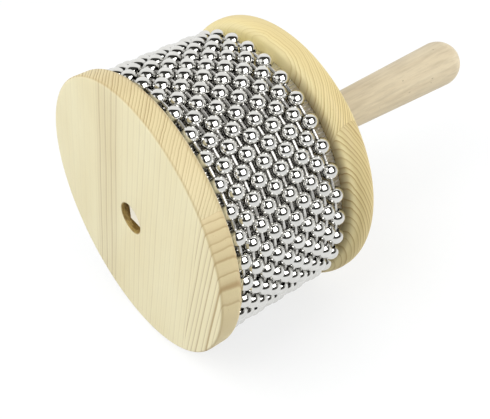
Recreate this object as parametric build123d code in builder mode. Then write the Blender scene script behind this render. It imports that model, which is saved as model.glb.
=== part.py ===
from build123d import *
import math
import os

# Cabasa: a wooden core between two discs, a ribbed steel sleeve round the core, ten endless
# loops of ball chain round the sleeve, and a turned handle whose tenon goes through the drum.
# Sizes are millimetres and degrees. The drum lies on its side with both discs on Z = 0. Its axis
# runs along X, the front disc faces -X and the handle points to +X. The origin is on the
# supporting surface, under the middle of the overall length.

# Discs
disc_diameter = 100.0
front_disc_thickness = 8.8
front_edge_chamfer = 0.8
inner_edge_radius = 2.8
rear_disc_thickness = 9.2
rear_edge_radius = 4.0
rear_edge_share = 0.45

# Core and ribbed sleeve
core_length = 46.9
core_diameter = 83.2
glue_gap = 0.1
sheet_thickness = 0.5
rib_height = 0.45
rib_pitch = 1.42
seam_gap = 0.4
sleeve_end_gap = 0.2

# Handle
tenon_diameter = 12.0
tenon_recess = 3.0
tenon_chamfer = 0.6
neck_diameter = 13.6
end_diameter = 18.9
handle_length = 95.1

# Ball chain loops
loop_count = 10
ball_diameter = 5.0
ball_wall = 0.35
ball_gap = 3.45
head_gap = 0.3
head_lip = 0.3
hole_play = 0.7
running_gap = 0.3
front_gap = 0.65
rear_gap = 3.05
lead_angle = 83.9
loop_twist = 0.06

# Stations along the drum, measured from the front face
core_start = front_disc_thickness
core_end = core_start + core_length
neck_start = core_end + rear_disc_thickness
handle_tip = neck_start + handle_length

# The drum's frame
axis_height = disc_diameter / 2
front_x = -handle_tip / 2
drum_axis = Axis((0, 0, axis_height), (1, 0, 0))
profile_plane = Plane(origin=(front_x, 0, axis_height), x_dir=(1, 0, 0), z_dir=(0, -1, 0))


def cross_plane(station):
    """The plane square to the drum's axis at a station, with its x along Y and its y along Z."""
    return Plane(origin=(front_x + station, 0, axis_height), x_dir=(0, 1, 0), z_dir=(1, 0, 0))


def ring_section(start, length, inner_radius, outer_radius):
    """A rectangle in the half section of the drum, from one radius out to another."""
    with Locations((start, inner_radius)):
        Rectangle(length, outer_radius - inner_radius, align=(Align.MIN, Align.MIN))


os.makedirs("parts", exist_ok=True)

# Front disc: a flat face with a broken edge, a rim rounded towards the beads and the tenon's hole
bore_radius = tenon_diameter / 2 + glue_gap

with BuildPart() as front_disc:
    with BuildSketch(profile_plane) as front_section:
        ring_section(0, front_disc_thickness, bore_radius, disc_diameter / 2)
        front_corner = front_section.vertices().group_by(Axis.Y)[-1].sort_by(Axis.X)[0]
        chamfer(front_corner, length=front_edge_chamfer)
        inner_corner = front_section.vertices().group_by(Axis.Y)[-1].sort_by(Axis.X)[-1]
        fillet(inner_corner, radius=inner_edge_radius)
    revolve(axis=drum_axis)

front_disc.part.label = "front_disc"
export_step(front_disc.part, "parts/front_disc.step")

# Rear disc: both rim edges rounded almost into one bullnose
with BuildPart() as rear_disc:
    with BuildSketch(profile_plane) as rear_section:
        ring_section(core_end, rear_disc_thickness, bore_radius, disc_diameter / 2)
        rear_rim = rear_section.vertices().group_by(Axis.Y)[-1]
        fillet(rear_rim, radius=min(rear_edge_radius, rear_edge_share * rear_disc_thickness))
    revolve(axis=drum_axis)

rear_disc.part.label = "rear_disc"
export_step(rear_disc.part, "parts/rear_disc.step")

# Core: glued between the discs and bored for the tenon
with BuildPart() as core:
    with BuildSketch(profile_plane):
        ring_section(core_start, core_length, bore_radius, core_diameter / 2)
    revolve(axis=drum_axis)

core.part.label = "core"
export_step(core.part, "parts/core.step")

# Sleeve: a rolled sheet with half-round ribs along the axis, its butt seam on the underside
sleeve_bore_radius = core_diameter / 2 + glue_gap
valley_radius = sleeve_bore_radius + sheet_thickness
crest_radius = valley_radius + rib_height
rib_count = round(2 * math.pi * crest_radius / rib_pitch)
rib_angle = 360 / rib_count


def at_angle(radius, angle):
    """A point of a cross plane by its radius and its angle from Y towards Z."""
    return (radius * math.cos(math.radians(angle)), radius * math.sin(math.radians(angle)))


with BuildPart() as sleeve:
    with BuildSketch(cross_plane(core_start + sleeve_end_gap)):
        with BuildLine():
            for rib in range(rib_count):
                ThreePointArc(
                    at_angle(valley_radius, rib * rib_angle),
                    at_angle(crest_radius, (rib + 0.5) * rib_angle),
                    at_angle(valley_radius, (rib + 1) * rib_angle),
                )
        make_face()
        Circle(sleeve_bore_radius, mode=Mode.SUBTRACT)
        with Locations((0, -crest_radius)):
            Rectangle(seam_gap, crest_radius, mode=Mode.SUBTRACT)
    extrude(amount=core_length - 2 * sleeve_end_gap)

sleeve.part.label = "ribbed_sleeve"
export_step(sleeve.part, "parts/ribbed_sleeve.step")

# Handle: tenon, shoulder on the rear disc, a grip that swells to its end and a domed tip
end_radius = end_diameter / 2
dome_start = handle_tip - end_radius

with BuildPart() as handle:
    with BuildSketch(profile_plane):
        with BuildLine():
            Polyline(
                (handle_tip, 0),
                (tenon_recess, 0),
                (tenon_recess, tenon_diameter / 2 - tenon_chamfer),
                (tenon_recess + tenon_chamfer, tenon_diameter / 2),
                (neck_start, tenon_diameter / 2),
                (neck_start, neck_diameter / 2),
                (dome_start, end_radius),
            )
            CenterArc((dome_start, 0), end_radius, 0, 90)
        make_face()
    revolve(axis=drum_axis)

handle.part.label = "handle"
export_step(handle.part, "parts/handle.step")

# Ball chain: the balls run on the sleeve's ribs, and two link heads share the inside of a ball
ball_radius = ball_diameter / 2
ball_bore_radius = ball_radius - ball_wall
chain_radius = crest_radius + running_gap + ball_radius
ball_count = round(2 * math.pi * chain_radius / (ball_diameter + ball_gap))
ball_angle = 360 / ball_count
ball_spacing = 2 * chain_radius * math.sin(math.radians(ball_angle / 2))

head_diameter = ball_bore_radius - head_gap / 2
hole_diameter = head_diameter - head_lip
shank_diameter = hole_diameter - hole_play
head_offset = ball_bore_radius - head_diameter / 2
link_span = ball_spacing - 2 * head_offset
link_radius = chain_radius * math.cos(math.radians(ball_angle / 2))

with BuildPart() as ball:
    with BuildSketch(Plane.XY):
        Circle(ball_radius)
        Circle(ball_bore_radius, mode=Mode.SUBTRACT)
        with Locations((hole_diameter / 2, 0)):
            Rectangle(
                2 * ball_diameter,
                2 * ball_diameter,
                align=(Align.MAX, Align.CENTER),
                mode=Mode.SUBTRACT,
            )
    revolve(axis=Axis.Y)

with BuildPart() as link:
    with BuildSketch(Plane.XY):
        Rectangle(shank_diameter, link_span)
        with Locations((0, link_span / 2), (0, -link_span / 2)):
            Circle(head_diameter / 2)
        Rectangle(
            ball_diameter,
            2 * ball_spacing,
            align=(Align.MAX, Align.CENTER),
            mode=Mode.SUBTRACT,
        )
    revolve(axis=Axis.Y)

# Loops: evenly spaced along the core, each turned on by half a ball pitch and a slight twist
first_loop = core_start + front_gap + ball_radius
last_loop = core_end - rear_gap - ball_radius
loop_pitch = (last_loop - first_loop) / (loop_count - 1)

for loop in range(loop_count):
    loop_plane = cross_plane(first_loop + loop * loop_pitch)
    loop_angle = lead_angle - loop * (ball_angle / 2 + loop_twist)

    with BuildPart(loop_plane) as bead_chain:
        with PolarLocations(chain_radius, ball_count, start_angle=loop_angle):
            add(ball.part)

    with BuildPart(loop_plane) as chain_links:
        with PolarLocations(link_radius, ball_count, start_angle=loop_angle + ball_angle / 2):
            add(link.part)

    bead_chain.part.label = f"bead_chain_{loop + 1:02d}"
    export_step(bead_chain.part, f"parts/bead_chain_{loop + 1:02d}.step")
    chain_links.part.label = f"chain_links_{loop + 1:02d}"
    export_step(chain_links.part, f"parts/chain_links_{loop + 1:02d}.step")
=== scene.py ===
import math
import random

import bpy
from mathutils import Matrix, Vector


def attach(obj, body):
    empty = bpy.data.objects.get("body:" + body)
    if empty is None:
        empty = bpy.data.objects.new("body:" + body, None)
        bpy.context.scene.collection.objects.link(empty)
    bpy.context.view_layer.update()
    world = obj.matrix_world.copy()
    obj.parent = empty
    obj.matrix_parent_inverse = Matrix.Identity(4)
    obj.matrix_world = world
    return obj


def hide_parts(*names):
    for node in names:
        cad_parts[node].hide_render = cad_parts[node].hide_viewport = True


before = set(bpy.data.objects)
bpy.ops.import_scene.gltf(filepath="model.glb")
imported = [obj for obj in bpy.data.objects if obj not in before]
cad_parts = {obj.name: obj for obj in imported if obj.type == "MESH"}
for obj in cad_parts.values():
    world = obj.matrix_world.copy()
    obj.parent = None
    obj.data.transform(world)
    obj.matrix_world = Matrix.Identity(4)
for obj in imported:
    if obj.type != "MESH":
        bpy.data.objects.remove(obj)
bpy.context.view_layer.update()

scene = bpy.context.scene
scene.view_settings.view_transform = "Standard"

# Sizes in millimetres. They are the solids' own, but for what the photo shows otherwise: fuller
# balls and links, a narrower mouth of the hole, softer edges and a rough-cut end of the tenon.
# Stations count from the front face along the drum's axis.
MM = 0.001
FRONT_X = -80.0
AXIS_Z = 50.0
DISC_RADIUS = 50.0
BORE_RADIUS = 6.1
MOUTH_RADIUS = 5.6
FRONT_END = 8.8
FRONT_EDGE = 0.9
INNER_EDGE = 2.8
REAR_EDGE = 4.0
REAR_START = 55.7
REAR_END = 64.9
HANDLE_TIP = 160.0
NECK_RADIUS = 6.8
END_RADIUS = 9.45
TENON_RADIUS = 6.0
TENON_EDGE = 0.6
TENON_RECESS = 3.0
STUB_HEIGHT = 1.5
STUB_ROOT = 0.2
STUB_FLAT = 2.5
SOFT_EDGE = 0.35
SLEEVE_BORE = 41.7
VALLEY_RADIUS = 42.2
CREST_RADIUS = 42.65
RIB_COUNT = 189
RIB_STEPS = 8
SLEEVE_GAP = 0.2
HALF_SEAM = 0.2
ROLLED_LENGTH, ROLLED_DROP = 0.15, 0.12
LOOP_COUNT = 10
BALL_COUNT = 34
BALL_ANGLE = math.tau / BALL_COUNT
BALL_RADIUS = 2.88
BALL_BORE = 2.5
HOLE_RADIUS = 0.92
CHAIN_RADIUS = 45.58
HEAD_RADIUS = 1.0
HEAD_OFFSET = 1.15
SHANK_RADIUS = 0.6
FIRST_LOOP = 11.95
LAST_LOOP = 50.15
LEAD_ANGLE = math.radians(83.9)
LOOP_TWIST = math.radians(0.06)
BALL_LEAN = math.radians(4)

# Segments round the turned pieces, and the angles in degrees beyond which their edges stay sharp
DISC_SEGMENTS, HANDLE_SEGMENTS, BALL_SEGMENTS, LINK_SEGMENTS = 256, 128, 28, 14
WOOD_CREASE, SHEET_CREASE, CHAIN_CREASE = 40, 50, 45

# The photograph's frame and its camera
IMAGE_WIDTH, IMAGE_HEIGHT = 490, 419
FOCAL_PIXELS = 826.25
SENSOR_WIDTH = 36.0
CENTRE_PIXEL = (239.0, 160.0)
CAMERA_AT = Vector((-0.174126, -0.178362, 0.239534))
CAMERA_TO = Vector((-0.035095, -0.000937, 0.052722))


# Node trees

class Tree:
    """A node tree with short calls for the nodes that the finishes are made of."""

    def __init__(self, owner):
        owner.use_nodes = True
        self.tree = owner.node_tree
        self.tree.nodes.clear()

    def add(self, kind, inputs=None, **settings):
        node = self.tree.nodes.new(kind)
        for key, value in settings.items():
            setattr(node, key, value)
        for key, value in (inputs or {}).items():
            self.put(node.inputs[key], value)
        return node

    def put(self, socket, value):
        if isinstance(value, bpy.types.NodeSocket):
            self.tree.links.new(value, socket)
        else:
            socket.default_value = value

    def math(self, operation, *values):
        node = self.add("ShaderNodeMath", operation=operation)
        for socket, value in zip(node.inputs, values):
            self.put(socket, value)
        return node.outputs[0]

    def times(self, first, second):
        return self.math("MULTIPLY", first, second)

    def plus(self, first, second):
        return self.math("ADD", first, second)

    def minus(self, first, second):
        return self.math("SUBTRACT", first, second)

    def vector(self, operation, *values):
        node = self.add("ShaderNodeVectorMath", operation=operation)
        for socket, value in zip(node.inputs, values):
            self.put(socket, value)
        scalar = operation in ("DOT_PRODUCT", "LENGTH")
        return node.outputs["Value" if scalar else "Vector"]

    def dot(self, vector, direction):
        return self.vector("DOT_PRODUCT", vector, direction)

    def stretch(self, vector, x, y=1.0, z=1.0):
        return self.vector("MULTIPLY", vector, (x, y, z))

    def join(self, x, y, z):
        return self.add("ShaderNodeCombineXYZ", {0: x, 1: y, 2: z}).outputs[0]

    def noise(self, vector, scale, detail=2.0, roughness=0.5):
        return self.add(
            "ShaderNodeTexNoise",
            {"Vector": vector, "Scale": scale, "Detail": detail, "Roughness": roughness},
        ).outputs["Fac"]

    def span(self, value, low, high, to_low=0.0, to_high=1.0, smooth=False):
        return self.add(
            "ShaderNodeMapRange",
            {"Value": value, "From Min": low, "From Max": high, "To Min": to_low, "To Max": to_high},
            interpolation_type="SMOOTHSTEP" if smooth else "LINEAR",
        ).outputs["Result"]

    def blend(self, factor, first, second, mode="MIX"):
        node = self.add("ShaderNodeMix", data_type="RGBA", blend_type=mode)
        self.put(node.inputs["Factor"], factor)
        self.put(node.inputs["A"], first if not isinstance(first, tuple) else (*first, 1.0))
        self.put(node.inputs["B"], second if not isinstance(second, tuple) else (*second, 1.0))
        return node.outputs["Result"]

    def choose(self, factor, first, second):
        node = self.add("ShaderNodeMix", data_type="FLOAT")
        self.put(node.inputs["Factor"], factor)
        self.put(node.inputs["A"], first)
        self.put(node.inputs["B"], second)
        return node.outputs["Result"]

    def ramp(self, factor, stops):
        node = self.add("ShaderNodeValToRGB", {"Fac": factor})
        points = node.color_ramp.elements
        while len(points) < len(stops):
            points.new(0.5)
        for point, (place, level) in zip(points, stops):
            point.position = place
            point.color = (level, level, level, 1.0)
        return node.outputs["Color"]

    def bump(self, height, strength, distance):
        inputs = {"Height": height, "Strength": strength, "Distance": distance * MM}
        return self.add("ShaderNodeBump", inputs).outputs["Normal"]

    def place(self):
        """The point on the object in millimetres."""
        scaled = self.vector("SCALE", self.add("ShaderNodeTexCoord").outputs["Object"])
        self.put(scaled.node.inputs["Scale"], 1.0 / MM)
        return scaled

    def surface(self, **inputs):
        named = {key.replace("_", " "): value for key, value in inputs.items()}
        shader = self.add("ShaderNodeBsdfPrincipled", named)
        self.add("ShaderNodeOutputMaterial", {"Surface": shader.outputs[0]})


def material(name):
    made = bpy.data.materials.new(name)
    return made, Tree(made)


# Wood

# Late wood through one ring, the colours of marks in the wood, of painted shade and painted light
# on the rear disc's inner face, of the bore's wall with painted shade, of painted light on the
# tenon's end, the side of the rear disc where the painted shade falls, and a station that parts
# the front disc from the rear one
RING = ((0.0, 0.0), (0.4, 0.04), (0.74, 0.3), (0.87, 1.0), (0.93, 0.9), (1.0, 0.0))
END_GRAIN = (0.66, 0.5, 0.24)
FLECKS = (0.42, 0.27, 0.12)
GLUE_LINE = (0.5, 0.36, 0.18)
PAINTED_BEAD_SHADE = (0.16, 0.105, 0.035)
PAINTED_INNER_LIGHT = (0.93, 0.79, 0.32)
DEEP_BORE_SHADE, BORE_TONE_AND_SHADE = (0.14, 0.08, 0.014), (0.42, 0.30, 0.10)
PAINTED_END_LIGHT = (0.87, 0.82, 0.70)
PAINTED_SHADE_TOWARDS = (0.0, -0.94, 0.34)
BETWEEN_DISCS = 20.0


def board(pith, width, sway, tone, slant=0.0, lean=0.0, fade=0.0):
    """A board by its pith's place, its rings' width and how its rings run and show."""
    return {
        "pith": pith, "width": width, "sway": sway, "tone": tone,
        "slant": math.radians(slant), "lean": lean, "fade": fade,
    }


def growth_rings(t, x, u, w, rim, stave):
    """Late wood from 0 to 1 for one board; every second ring may fade off the rim."""
    across = t.plus(t.times(u, math.cos(stave["slant"])), t.times(w, math.sin(stave["slant"])))
    long_noise = t.noise(t.join(t.times(x, 0.6), across, t.times(w, 0.22)), 0.07, 2.0)
    fine_noise = t.noise(t.join(x, across, t.times(w, 0.1)), 0.5, 3.0)
    off_x = t.minus(t.plus(x, t.times(w, stave["lean"])), stave["pith"][0])
    off_u = t.minus(across, stave["pith"][1])
    depth = t.vector("LENGTH", t.join(off_x, off_u, 0.0))
    depth = t.plus(depth, t.span(long_noise, 0.25, 0.75, -stave["sway"], stave["sway"]))
    depth = t.plus(depth, t.span(fine_noise, 0.25, 0.75, -0.06, 0.06))
    rings = t.math("DIVIDE", depth, stave["width"])
    uneven = t.noise(t.join(rings, 0.0, 0.0), 0.55, 1.0)
    rings = t.plus(rings, t.span(uneven, 0.2, 0.8, -0.45, 0.45))
    vary = t.add("ShaderNodeTexWhiteNoise", {"W": t.math("FLOOR", rings)}, noise_dimensions="1D")
    late = t.ramp(t.math("FRACT", rings), RING)
    strength = t.span(vary.outputs["Value"], 0.0, 1.0, 0.45, 1.0)
    odd = t.math("FLOORED_MODULO", t.math("FLOOR", rings), 2.0)
    fade = t.times(t.times(odd, stave["fade"]), t.minus(1.0, rim))
    return t.times(late, t.times(strength, t.minus(1.0, fade)))


def disc_wood(name, grain, joint, staves, pale, late_colour, warm, edge_shade, second_tint, streak):
    """A pine disc glued up from two boards whose grain runs at an angle from Y towards Z."""
    made, t = material(name)
    local = t.vector("SUBTRACT", t.place(), (FRONT_X, 0.0, AXIS_Z))
    lie = math.radians(grain)
    along = (0.0, math.cos(lie), math.sin(lie))
    across = (0.0, math.sin(lie), -math.cos(lie))
    x = t.dot(local, (1.0, 0.0, 0.0))
    u = t.dot(local, across)
    w = t.dot(local, along)
    second = t.math("LESS_THAN", u, joint)
    radius = t.vector("LENGTH", t.stretch(local, 0.0))
    normal = t.add("ShaderNodeNewGeometry").outputs["Normal"]
    side = t.math("ABSOLUTE", t.dot(normal, (1.0, 0.0, 0.0)))
    rim = t.span(side, 0.55, 0.95, 1.0, 0.0, smooth=True)

    rings = [t.times(growth_rings(t, x, u, w, rim, stave), stave["tone"](t, u, rim)) for stave in staves]
    late = t.choose(second, *rings)
    fibre = t.noise(t.join(x, u, t.times(w, 0.025)), 4.5, 3.0, 0.6)
    cloud = t.noise(t.join(x, u, t.times(w, 0.3)), 0.06, 3.0)
    fleck = t.noise(t.join(x, u, t.times(w, 0.12)), 2.2, 1.0)
    fleck = t.span(fleck, 0.72, 0.82)

    end = t.math("ABSOLUTE", t.dot(normal, along))
    end_grain = t.times(t.span(end, 0.35, 1.0, smooth=True), rim)

    base = t.blend(rim, pale, warm)
    cloudy = (warm[0] * 0.97, warm[1] * 0.94, warm[2] * 0.92)
    base = t.blend(t.span(cloud, 0.3, 0.7, 0.0, 0.5), base, cloudy)
    base = t.blend(t.times(end_grain, 0.35), base, END_GRAIN)
    band = t.times(t.span(u, 5.0, 10.0, smooth=True), t.span(u, 19.0, 22.5, 1.0, 0.0, smooth=True))
    base = t.blend(t.times(band, streak), base, late_colour)
    colour = t.blend(late, base, late_colour)
    shade = t.span(fibre, 0.25, 0.75, 0.955, 1.045)
    colour = t.blend(1.0, colour, t.join(shade, shade, shade), "MULTIPLY")
    colour = t.blend(t.times(fleck, t.span(rim, 0.0, 1.0, 0.22, 0.5)), colour, FLECKS)
    seam = t.span(t.math("ABSOLUTE", t.minus(u, joint)), 0.0, 0.14, 0.4, 0.0)
    colour = t.blend(seam, colour, GLUE_LINE)

    # Painted shade: late-wood colour on the rounded edge between the face and the rim, where the edge
    # turns from the light
    edge_shade_mask = t.times(t.span(side, 0.15, 0.5), t.span(side, 0.8, 0.98, 1.0, 0.0))
    edge_shade_mask = t.times(edge_shade_mask, t.span(radius, 47.5, 49.0))
    colour = t.blend(t.times(edge_shade_mask, edge_shade), colour, late_colour)
    colour = t.blend(t.times(second, t.times(rim, 0.35)), colour, second_tint)

    bead_side = t.span(x, REAR_START + 1.8, REAR_START + 4.3, 1.0, 0.0)
    bead_side = t.times(t.math("GREATER_THAN", x, BETWEEN_DISCS), bead_side)
    painted_shade_side = t.math("DIVIDE", t.dot(local, PAINTED_SHADE_TOWARDS), radius)
    # Painted shade: the beads' shade on the rear disc's inner face, darkest towards one side of the disc
    painted_bead_shade = t.times(t.span(radius, 43.5, 47.5, 1.0, 0.0), bead_side)
    painted_bead_shade = t.times(painted_bead_shade, t.span(painted_shade_side, 0.3, 0.85))
    colour = t.blend(t.times(painted_bead_shade, 0.75), colour, PAINTED_BEAD_SHADE)
    # Painted light: the rear disc's inner shoulder is paler on the side away from the painted shade
    painted_inner_light = t.times(t.span(radius, 44.0, 48.0, 1.0, 0.0), bead_side)
    painted_inner_light = t.times(painted_inner_light, t.span(painted_shade_side, 0.1, 0.7, 0.7, 0.0))
    colour = t.blend(painted_inner_light, colour, PAINTED_INNER_LIGHT)
    # The bore's wall: its own darker tone and painted shade, which deepens further into the hole
    bore = t.span(radius, BORE_RADIUS - 0.4, BORE_RADIUS - 0.05, 1.0, 0.0)
    bore_depth_shade = t.noise(t.stretch(local, 1.6, 0.5, 0.5), 0.9, 4.0, 0.65)
    bore_depth_shade = t.minus(bore_depth_shade, t.span(x, 0.4, 2.6, -0.08, 0.2))
    bore_wall_and_shade = t.blend(t.span(bore_depth_shade, 0.35, 0.65), DEEP_BORE_SHADE, BORE_TONE_AND_SHADE)
    colour = t.blend(bore, colour, bore_wall_and_shade)

    height = t.plus(t.times(fibre, 0.5), t.times(late, 0.7))
    t.surface(
        Base_Color=colour,
        Roughness=t.span(fibre, 0.3, 0.7, 0.46, 0.6),
        Specular_IOR_Level=0.35,
        Normal=t.bump(height, 0.35, 0.06),
    )
    return made


def front_tone(t, u, rim):
    """Strong rings on the rim and in a band left of the hole, faint ones elsewhere on the face."""
    band = t.times(t.span(u, 6.5, 10.0, smooth=True), t.span(u, 20.0, 22.5, 1.0, 0.0, smooth=True))
    plain = t.span(u, 19.0, 23.0, 0.36, 0.1)
    face = t.math("MAXIMUM", t.times(band, 0.85), plain)
    return t.choose(rim, face, t.span(u, -20.0, 8.0, 0.8, 1.4))


def rear_tone(t, u, rim):
    """Rings that come out strongest towards the glue line."""
    return t.span(u, -25.0, 22.0, 1.4, 0.3)


def even_tone(level, rim_level):
    """Rings of one strength on the face and another on the rim."""
    return lambda t, u, rim: t.choose(rim, level, rim_level)


front_wood = disc_wood(
    "pine_front_disc",
    grain=100.5,
    joint=-34.5,
    staves=(
        board((-110.0, 100.0), 1.0, 0.35, front_tone, fade=0.75),
        board((11.0, 60.0), 2.1, 0.4, even_tone(0.95, 1.15), slant=3.0),
    ),
    pale=(0.80, 0.735, 0.495),
    late_colour=(0.36, 0.24, 0.10),
    warm=(0.735, 0.655, 0.395),
    edge_shade=0.3,
    second_tint=(0.66, 0.50, 0.26),
    streak=0.12,
)
rear_wood = disc_wood(
    "pine_rear_disc",
    grain=102.0,
    joint=-29.2,
    staves=(
        board((8.0, 5.0), 0.8, 0.5, rear_tone),
        board((-20.0, -59.4), 1.1, 0.6, even_tone(1.0, 1.6), lean=0.26),
    ),
    pale=(0.78, 0.685, 0.39),
    late_colour=(0.42, 0.28, 0.10),
    warm=(0.78, 0.67, 0.335),
    edge_shade=0.0,
    second_tint=(0.46, 0.35, 0.16),
    streak=0.0,
)


def turned_wood(name, pale, dark, stretch):
    """A close-grained turned wood with streaks, pores and specks along X, and painted light that makes
    the tenon's end pale.
    """
    made, t = material(name)
    local = t.place()
    streak = t.noise(t.stretch(local, stretch), 0.35, 4.0, 0.55)
    cloud = t.noise(t.stretch(local, 0.35), 0.09, 3.0)
    fibre = t.noise(t.stretch(local, 0.03), 5.0, 2.0)
    pores = t.span(t.noise(t.stretch(local, 0.1), 3.2, 1.0), 0.7, 0.8)
    colour = t.blend(t.span(streak, 0.3, 0.75), pale, dark)
    colour = t.blend(t.span(cloud, 0.35, 0.7, 0.0, 0.45), colour, tuple(c * 0.93 for c in pale))
    shade = t.span(fibre, 0.25, 0.75, 0.96, 1.04)
    colour = t.blend(1.0, colour, t.join(shade, shade, shade), "MULTIPLY")
    colour = t.blend(t.times(pores, 0.25), colour, tuple(c * 0.55 for c in dark))
    wave = t.noise(t.stretch(local, 0.12), 0.6, 3.0, 0.6)
    colour = t.blend(t.span(wave, 0.45, 0.72, 0.0, 0.5), colour, tuple(c * 0.72 for c in dark))
    speck = t.noise(t.stretch(local, 0.6), 0.42, 1.0)
    colour = t.blend(t.span(speck, 0.73, 0.77, 0.0, 0.75), colour, tuple(c * 0.5 for c in dark))
    # Painted light: the tenon's end, recessed in the hole, is coloured pale and broken by the fibres
    tenon_end = FRONT_X + TENON_RECESS
    painted_end_light = t.span(t.dot(local, (1.0, 0.0, 0.0)), tenon_end + 0.05, tenon_end + 0.4, 1.0, 0.0)
    colour = t.blend(t.times(painted_end_light, t.span(fibre, 0.2, 0.6, 0.6, 1.0)), colour, PAINTED_END_LIGHT)
    height = t.minus(t.times(fibre, 0.5), pores)
    t.surface(
        Base_Color=colour,
        Roughness=t.span(streak, 0.3, 0.7, 0.42, 0.55),
        Specular_IOR_Level=0.4,
        Normal=t.bump(height, 0.3, 0.05),
    )
    return made


handle_wood = turned_wood("hardwood_handle", (0.68, 0.585, 0.41), (0.58, 0.475, 0.32), 0.07)
core_wood = turned_wood("pine_core", (0.74, 0.62, 0.38), (0.62, 0.48, 0.27), 0.04)


# Steel

STRIP_ROUGHNESS = 0.38


def steel(name, colour, dull, rough, stretch, painted_strip=None):
    """Bright steel with faint smears and fine marks; the last argument colours the end beyond the chains
    brighter, as a painted reflection.
    """
    made, t = material(name)
    local = t.place()
    smear = t.noise(local, 0.45, 4.0, 0.6)
    marks = t.noise(t.stretch(local, stretch), 9.0, 2.0)
    tone = t.blend(t.span(smear, 0.35, 0.7), colour, dull)
    gloss = t.plus(t.span(smear, 0.3, 0.7, rough, rough * 1.9), t.times(marks, rough * 0.6))
    # Painted reflection: the sheet's end beyond the last loop gets a bright colour, so it shows bright
    # beside the chains
    if painted_strip:
        chain_end = FRONT_X + LAST_LOOP
        painted_strip_mask = t.span(t.dot(local, (1.0, 0.0, 0.0)), chain_end + 0.5, chain_end + 1.8)
        tone = t.blend(painted_strip_mask, tone, painted_strip)
        gloss = t.choose(painted_strip_mask, gloss, STRIP_ROUGHNESS)
    t.surface(Base_Color=tone, Metallic=1.0, Roughness=gloss, Normal=t.bump(marks, 0.06, 0.02))
    return made


bead_steel = steel("plated_steel_balls", (0.70, 0.695, 0.675), (0.625, 0.62, 0.595), 0.035, 1.0)
link_steel = steel("plated_steel_links", (0.64, 0.63, 0.61), (0.54, 0.53, 0.50), 0.16, 1.0)
sleeve_steel = steel(
    "ribbed_steel_sheet", (0.40, 0.39, 0.37), (0.30, 0.29, 0.27), 0.06, 0.05, painted_strip=(0.93, 0.92, 0.90)
)


# Meshes

def piece(name, shape, finish, body, nodes, crease):
    """A piece that stands in for nodes of the solids and moves with their body."""
    points, faces = shape
    mesh = bpy.data.meshes.new(name)
    mesh.from_pydata([(x * MM, y * MM, z * MM) for x, y, z in points], [], faces)
    mesh.shade_smooth()
    mesh.set_sharp_from_angle(angle=math.radians(crease))
    mesh.materials.append(finish)
    made = bpy.data.objects.new(name, mesh)
    scene.collection.objects.link(made)
    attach(made, body)
    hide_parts(*nodes)


def round_corner(centre, radius, start, stop, steps):
    """Points of an arc in the half section, by angles from the axis direction."""
    for step in range(steps + 1):
        angle = math.radians(start + (stop - start) * step / steps)
        yield (centre[0] + radius * math.cos(angle), centre[1] + radius * math.sin(angle))


def spun(section, segments, closed, flipped=False):
    """A half section turned about X; flipped is for parts that loop_mesh mirrors."""
    points, rings, faces = [], [], []
    for length, radius in section:
        if radius < 1e-6:
            rings.append([len(points)] * segments)
            points.append((length, 0.0, 0.0))
            continue
        rings.append([len(points) + i for i in range(segments)])
        for i in range(segments):
            angle = math.tau * i / segments
            points.append((length, radius * math.cos(angle), radius * math.sin(angle)))
    pairs = list(zip(rings, rings[1:]))
    if closed:
        pairs.append((rings[-1], rings[0]))
    for near, far in pairs:
        for i in range(segments):
            j = (i + 1) % segments
            corners = (near[i], near[j], far[j], far[i])
            if flipped:
                corners = (near[i], far[i], far[j], near[j])
            faces.append(list(dict.fromkeys(corners)))
    return points, faces


def on_drum(points):
    """Points that count from the front face's middle, moved to the drum."""
    return [(FRONT_X + x, y, AXIS_Z + z) for x, y, z in points]


def lathe(section, segments, closed):
    """A half section turned about the drum's axis."""
    points, faces = spun(section, segments, closed)
    return on_drum(points), faces


front_section = [
    *round_corner((SOFT_EDGE, MOUTH_RADIUS + SOFT_EDGE), SOFT_EDGE, 270, 180, 4),
    (0.0, 12.0), (0.0, 20.0), (0.0, 30.0), (0.0, 40.0), (0.0, 46.0),
    *round_corner((FRONT_EDGE, DISC_RADIUS - FRONT_EDGE), FRONT_EDGE, 180, 90, 8),
    *round_corner((FRONT_END - INNER_EDGE, DISC_RADIUS - INNER_EDGE), INNER_EDGE, 90, 0, 14),
    (FRONT_END, 45.0), (FRONT_END, 30.0), (FRONT_END, BORE_RADIUS),
    (TENON_RECESS - 0.05, BORE_RADIUS), (TENON_RECESS - 0.2, MOUTH_RADIUS),
]
front_shape = lathe(front_section, DISC_SEGMENTS, True)
piece("front_disc_turned", front_shape, front_wood, "drum", ["front_disc"], WOOD_CREASE)

rear_section = [
    (REAR_START, BORE_RADIUS), (REAR_START, 30.0), (REAR_START, 42.0),
    *round_corner((REAR_START + REAR_EDGE, DISC_RADIUS - REAR_EDGE), REAR_EDGE, 180, 90, 18),
    *round_corner((REAR_END - REAR_EDGE, DISC_RADIUS - REAR_EDGE), REAR_EDGE, 90, 0, 18),
    (REAR_END, 30.0), (REAR_END, 14.0), (REAR_END, BORE_RADIUS),
]
rear_shape = lathe(rear_section, DISC_SEGMENTS, True)
piece("rear_disc_turned", rear_shape, rear_wood, "drum", ["rear_disc"], WOOD_CREASE)

DOME_START = HANDLE_TIP - END_RADIUS


def grip_radius(station):
    """The handle's radius, which swells evenly from the neck to the dome."""
    share = (station - REAR_END) / (DOME_START - REAR_END)
    return NECK_RADIUS + (END_RADIUS - NECK_RADIUS) * share


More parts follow.
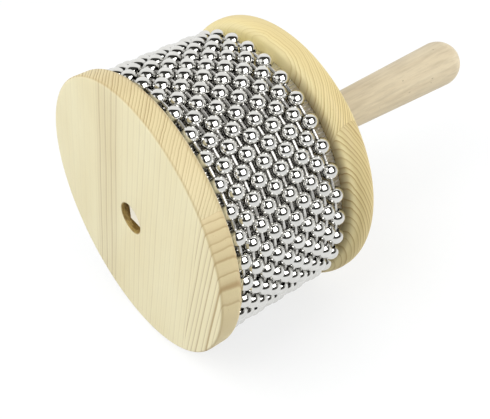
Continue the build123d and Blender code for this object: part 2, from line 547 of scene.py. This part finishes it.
handle_section = [
    (TENON_RECESS, 0.0), (TENON_RECESS, 2.7),
    *round_corner((TENON_RECESS + TENON_EDGE, TENON_RADIUS - TENON_EDGE), TENON_EDGE, 180, 90, 5),
    (20.0, TENON_RADIUS), (40.0, TENON_RADIUS), (REAR_END, TENON_RADIUS),
    *round_corner((REAR_END + SOFT_EDGE, NECK_RADIUS - SOFT_EDGE), SOFT_EDGE, 180, 90, 4),
    *((station, grip_radius(station)) for station in (75.0, 90.0, 105.0, 120.0, 135.0, 145.0)),
    *round_corner((DOME_START, 0.0), END_RADIUS, 90, 0, 24),
]
handle_section[-1] = (HANDLE_TIP, 0.0)


def squared_stub(start, stop, radius, flat, steps):
    """A round stub with two flats that meet in a corner, as a rough-cut tenon has."""
    first = math.acos(flat / radius)
    last = math.pi + math.asin(flat / radius)
    outline = [(flat, -flat)]
    for step in range(steps + 1):
        angle = first + (last - first) * step / steps
        outline.append((radius * math.cos(angle), radius * math.sin(angle)))
    points = on_drum((x, y, z) for x in (start, stop) for y, z in outline)
    count = len(outline)
    faces = [list(range(count - 1, -1, -1)), list(range(count, 2 * count))]
    faces += [[i, (i + 1) % count, (i + 1) % count + count, i + count] for i in range(count)]
    return points, faces


handle_points, handle_faces = lathe(handle_section, HANDLE_SEGMENTS, False)
stub_points, stub_faces = squared_stub(
    TENON_RECESS - STUB_HEIGHT, TENON_RECESS + STUB_ROOT, TENON_RADIUS - TENON_EDGE, STUB_FLAT, 40
)
handle_faces += [[i + len(handle_points) for i in face] for face in stub_faces]
handle_shape = (handle_points + stub_points, handle_faces)
piece("handle_turned", handle_shape, handle_wood, "drum", ["handle"], WOOD_CREASE)


def sleeve_mesh():
    """A rolled sheet with half-round ribs, drawn in at its ends, and a seam on the underside."""
    rib = math.tau / RIB_COUNT
    half_chord = VALLEY_RADIUS * math.sin(rib / 2)
    valley_depth = VALLEY_RADIUS * math.cos(rib / 2)
    rise = CREST_RADIUS - valley_depth
    arc_radius = (half_chord ** 2 + rise ** 2) / (2 * rise)
    arc_centre = CREST_RADIUS - arc_radius
    reach = math.atan2(half_chord, valley_depth - arc_centre)
    outline = []
    for index in range(RIB_COUNT):
        middle = (index + 0.5) * rib
        for step in range(RIB_STEPS):
            turn = reach * (2 * step / RIB_STEPS - 1)
            depth = arc_centre + arc_radius * math.cos(turn)
            swing = arc_radius * math.sin(turn)
            outline.append((middle + math.atan2(swing, depth), math.hypot(depth, swing)))
    seam = HALF_SEAM / VALLEY_RADIUS
    low = math.radians(270)
    outline = [(a, r) for a, r in outline if abs(a - low) > seam]
    start = next(i for i, (a, r) in enumerate(outline) if a > low)
    outline = outline[start:] + outline[:start]
    outline = [(low + seam, VALLEY_RADIUS), *outline, (low - seam, VALLEY_RADIUS)]
    points, faces = [], []
    near, far = FRONT_END + SLEEVE_GAP, REAR_START - SLEEVE_GAP
    stations = (near, near + ROLLED_LENGTH, far - ROLLED_LENGTH, far)
    for station, drop in zip(stations, (ROLLED_DROP, 0.0, 0.0, ROLLED_DROP)):
        for angle, radius in outline:
            out = radius - drop
            points.append((station, out * math.cos(angle), out * math.sin(angle)))
    for station in (far, near):
        for angle, radius in outline:
            points.append((station, SLEEVE_BORE * math.cos(angle), SLEEVE_BORE * math.sin(angle)))
    count = len(outline)
    rows = len(points) // count
    for row in range(rows):
        here, there = row * count, (row + 1) % rows * count
        for i in range(count - 1):
            faces.append((here + i, here + i + 1, there + i + 1, there + i))
    faces.append([row * count for row in range(rows)])
    faces.append([row * count + count - 1 for row in reversed(range(rows))])
    return on_drum(points), faces


sleeve = sleeve_mesh()
piece("ribbed_sleeve_sheet", sleeve, sleeve_steel, "drum", ["ribbed_sleeve"], SHEET_CREASE)


def ball_section():
    """A hollow ball with two holes, whose lips turn in towards the links."""
    hole = math.degrees(math.asin((HOLE_RADIUS + 0.12) / BALL_RADIUS))
    inner = math.degrees(math.asin(HOLE_RADIUS / BALL_BORE))
    mouth = BALL_RADIUS * math.cos(math.asin(HOLE_RADIUS / BALL_RADIUS)) - 0.1
    outside = list(round_corner((0.0, 0.0), BALL_RADIUS, 180 - hole, hole, 22))
    inside = list(round_corner((0.0, 0.0), BALL_BORE, inner, 180 - inner, 8))
    return [*outside, (mouth, HOLE_RADIUS), *inside, (-mouth, HOLE_RADIUS)]


def link_section():
    """A pin with a round head at each end."""
    reach = CHAIN_RADIUS * math.sin(BALL_ANGLE / 2) - HEAD_OFFSET
    neck = math.degrees(math.asin(SHANK_RADIUS / HEAD_RADIUS))
    far_head = list(round_corner((reach, 0.0), HEAD_RADIUS, 180 - neck, 0, 8))
    near_head = list(round_corner((-reach, 0.0), HEAD_RADIUS, 180, neck, 8))
    far_head[-1] = (reach + HEAD_RADIUS, 0.0)
    near_head[0] = (-reach - HEAD_RADIUS, 0.0)
    return [*near_head, (-1.0, SHANK_RADIUS), (1.0, SHANK_RADIUS), *far_head]


def loop_mesh(part, station, radius, first, lean, rng):
    """Copies of a part round the drum, each turned about its length and leaning a little."""
    part_points, part_faces = part
    points, faces = [], []
    for index in range(BALL_COUNT):
        angle = first + index * BALL_ANGLE
        tangent = Vector((0.0, -math.sin(angle), math.cos(angle)))
        outward = Vector((0.0, math.cos(angle), math.sin(angle)))
        side = Vector((1.0, 0.0, 0.0))
        centre = Vector((FRONT_X + station, 0.0, AXIS_Z)) + radius * outward
        frame_of = Matrix((tangent, outward, side)).transposed()
        turn = Matrix.Rotation(rng.uniform(0, math.tau), 3, "X")
        tip = Matrix.Rotation(rng.gauss(0, lean), 3, "Y")
        tip = tip @ Matrix.Rotation(rng.gauss(0, lean), 3, "Z")
        place = frame_of @ tip @ turn
        start = len(points)
        points.extend(tuple(centre + place @ Vector(point)) for point in part_points)
        faces.extend([start + corner for corner in face] for face in part_faces)
    return points, faces


ball = spun(ball_section(), BALL_SEGMENTS, True, flipped=True)
link = spun(link_section(), LINK_SEGMENTS, False, flipped=True)
link_circle = CHAIN_RADIUS * math.cos(BALL_ANGLE / 2)
rng = random.Random(34)

for loop in range(LOOP_COUNT):
    number = f"{loop + 1:02d}"
    station = FIRST_LOOP + (LAST_LOOP - FIRST_LOOP) * loop / (LOOP_COUNT - 1)
    first = LEAD_ANGLE - loop * (BALL_ANGLE / 2 + LOOP_TWIST)
    balls = loop_mesh(ball, station, CHAIN_RADIUS, first, BALL_LEAN, rng)
    links = loop_mesh(link, station, link_circle, first + BALL_ANGLE / 2, 0.0, rng)
    body = f"chain_loop_{number}"
    piece(f"balls_{number}", balls, bead_steel, body, [f"bead_chain_{number}"], CHAIN_CREASE)
    piece(f"links_{number}", links, link_steel, body, [f"chain_links_{number}"], CHAIN_CREASE)

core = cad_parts["core"]
core.data.materials.clear()
core.data.materials.append(core_wood)


# Camera
camera = bpy.data.objects.new("camera", bpy.data.cameras.new("camera"))
camera.data.sensor_fit = "HORIZONTAL"
camera.data.sensor_width = SENSOR_WIDTH
camera.data.lens = FOCAL_PIXELS * SENSOR_WIDTH / IMAGE_WIDTH
camera.data.shift_x = (IMAGE_WIDTH / 2 - CENTRE_PIXEL[0]) / IMAGE_WIDTH
camera.data.shift_y = (CENTRE_PIXEL[1] - IMAGE_HEIGHT / 2) / IMAGE_WIDTH
camera.data.clip_start = 0.01
camera.location = CAMERA_AT
camera.rotation_euler = (CAMERA_TO - CAMERA_AT).to_track_quat("-Z", "Y").to_euler()
scene.collection.objects.link(camera)
scene.camera = camera


# Studio: a white room that is dark behind the camera, three soft panels that light the object and a
# softbox that only the steel shows
toward = (CAMERA_AT - CAMERA_TO).normalized()
right = Vector((0.0, 0.0, 1.0)).cross(toward).normalized()
upward = toward.cross(right)

world = bpy.data.worlds.new("studio")
scene.world = world
t = Tree(world)
direction = t.add("ShaderNodeTexCoord").outputs["Generated"]
half = t.vector("NORMALIZE", t.vector("ADD", direction, tuple(toward)))
ball_x = t.dot(half, tuple(right))
ball_y = t.dot(half, tuple(upward))


def spot(x, y, width, height, turn, soft):
    """A soft-edged patch of the room, placed as a mirror ball beside the drum would show it."""
    cos, sin = math.cos(math.radians(turn)), math.sin(math.radians(turn))
    dx = t.minus(ball_x, x)
    dy = t.minus(ball_y, y)
    px = t.plus(t.times(dx, cos), t.times(dy, sin))
    py = t.minus(t.times(dy, cos), t.times(dx, sin))
    wide = t.math("POWER", t.math("ABSOLUTE", t.math("DIVIDE", px, width)), 4.0)
    tall = t.math("POWER", t.math("ABSOLUTE", t.math("DIVIDE", py, height)), 4.0)
    return t.span(t.plus(wide, tall), 1.0 - soft, 1.0 + soft, 1.0, 0.0, smooth=True)


mottle = t.noise(direction, 3.5, 3.0)
room = t.blend(t.span(mottle, 0.35, 0.65), (1.08, 1.08, 1.06), (0.6, 0.6, 0.575))
clutter = t.noise(direction, 7.0, 4.0)
dark = t.blend(t.span(clutter, 0.42, 0.58), (0.02, 0.019, 0.017), (0.19, 0.185, 0.17))
room = t.blend(t.span(ball_y, 0.4, 0.6), room, (1.14, 1.14, 1.13))
patches = (
    (spot(0.0, 0.02, 0.6, 0.5, 0.0, 0.3), dark),
    (spot(0.02, 0.4, 0.48, 0.08, 0.0, 0.5), (0.02, 0.02, 0.018)),
    (spot(-0.41, 0.06, 0.18, 0.19, 15.0, 0.5), (1.25, 1.25, 1.23)),
    (spot(-0.12, -0.2, 0.34, 0.15, 15.0, 0.6), (0.05, 0.049, 0.045)),
)
for patch, shown in patches:
    room = t.blend(patch, room, shown)

path = t.add("ShaderNodeLightPath").outputs
shiny = t.math("MAXIMUM", path["Is Glossy Ray"], path["Is Transmission Ray"])
lit_side = t.dot(direction, (-0.42, 0.4, 0.81))
soft_light = t.blend(t.span(lit_side, -0.8, 1.0), (0.28, 0.28, 0.29), (0.80, 0.81, 0.82))
seen = t.blend(shiny, soft_light, room)
seen = t.blend(path["Is Camera Ray"], seen, (1.0, 1.0, 1.0))
backdrop = t.add("ShaderNodeBackground", {"Color": seen, "Strength": 1.0})
t.add("ShaderNodeOutputWorld", {"Surface": backdrop.outputs[0]})


def lamp(name, place, aim, size, power, shows):
    """A soft panel that either lights the object or shows in the steel."""
    made = bpy.data.objects.new(name, bpy.data.lights.new(name, "AREA"))
    made.data.shape = "SQUARE"
    made.data.size = size
    made.data.energy = power
    made.location = place
    made.rotation_euler = (Vector(aim) - Vector(place)).to_track_quat("-Z", "Y").to_euler()
    made.visible_camera = False
    made.visible_glossy = shows
    made.visible_diffuse = not shows
    scene.collection.objects.link(made)


middle = (-0.03, 0.0, 0.05)
lamp("key_panel", (-0.45, 0.04, 0.6), middle, 0.5, 2.7, False)
lamp("left_panel", (-0.7, 0.0, 0.35), middle, 0.6, 0.3, False)
lamp("right_panel", (0.5, -0.32, 0.16), (0.05, 0.0, 0.05), 0.4, 2.7, False)
lamp("softbox", (-0.056, -0.14, 0.19), (-0.05, -0.02, 0.07), 0.152, 0.345, True)


# Floor: white paper that keeps the shadow and throws back less light than it shows
PAPER_BOUNCE = (0.6, 0.6, 0.58)
PAPER_GLOW = 0.71
FLOOR_REACH = 3.0

floor_mesh = bpy.data.meshes.new("floor")
corners = [(x * FLOOR_REACH, y * FLOOR_REACH, 0) for x, y in ((-1, -1), (1, -1), (1, 1), (-1, 1))]
floor_mesh.from_pydata(corners, [], [(0, 1, 2, 3)])
floor = bpy.data.objects.new("floor", floor_mesh)
scene.collection.objects.link(floor)
floor_finish, t = material("white_paper")
grain = t.noise(t.add("ShaderNodeTexCoord").outputs["Object"], 900.0, 3.0)
path = t.add("ShaderNodeLightPath").outputs
shiny = t.math("MAXIMUM", path["Is Glossy Ray"], path["Is Transmission Ray"])
looked_at = t.math("MAXIMUM", path["Is Camera Ray"], shiny)
sheet = t.blend(grain, (0.94, 0.96, 0.96), (0.98, 1.0, 1.0))
paper = t.add("ShaderNodeBsdfDiffuse", {"Color": t.blend(looked_at, PAPER_BOUNCE, sheet)})
white = t.add("ShaderNodeEmission", {"Color": (1.0, 1.0, 1.0, 1.0), "Strength": 1.0})
glow = t.times(looked_at, PAPER_GLOW)
surface = t.add("ShaderNodeMixShader", {0: glow, 1: paper.outputs[0], 2: white.outputs[0]})
t.add("ShaderNodeOutputMaterial", {"Surface": surface.outputs[0]})
floor_mesh.materials.append(floor_finish)
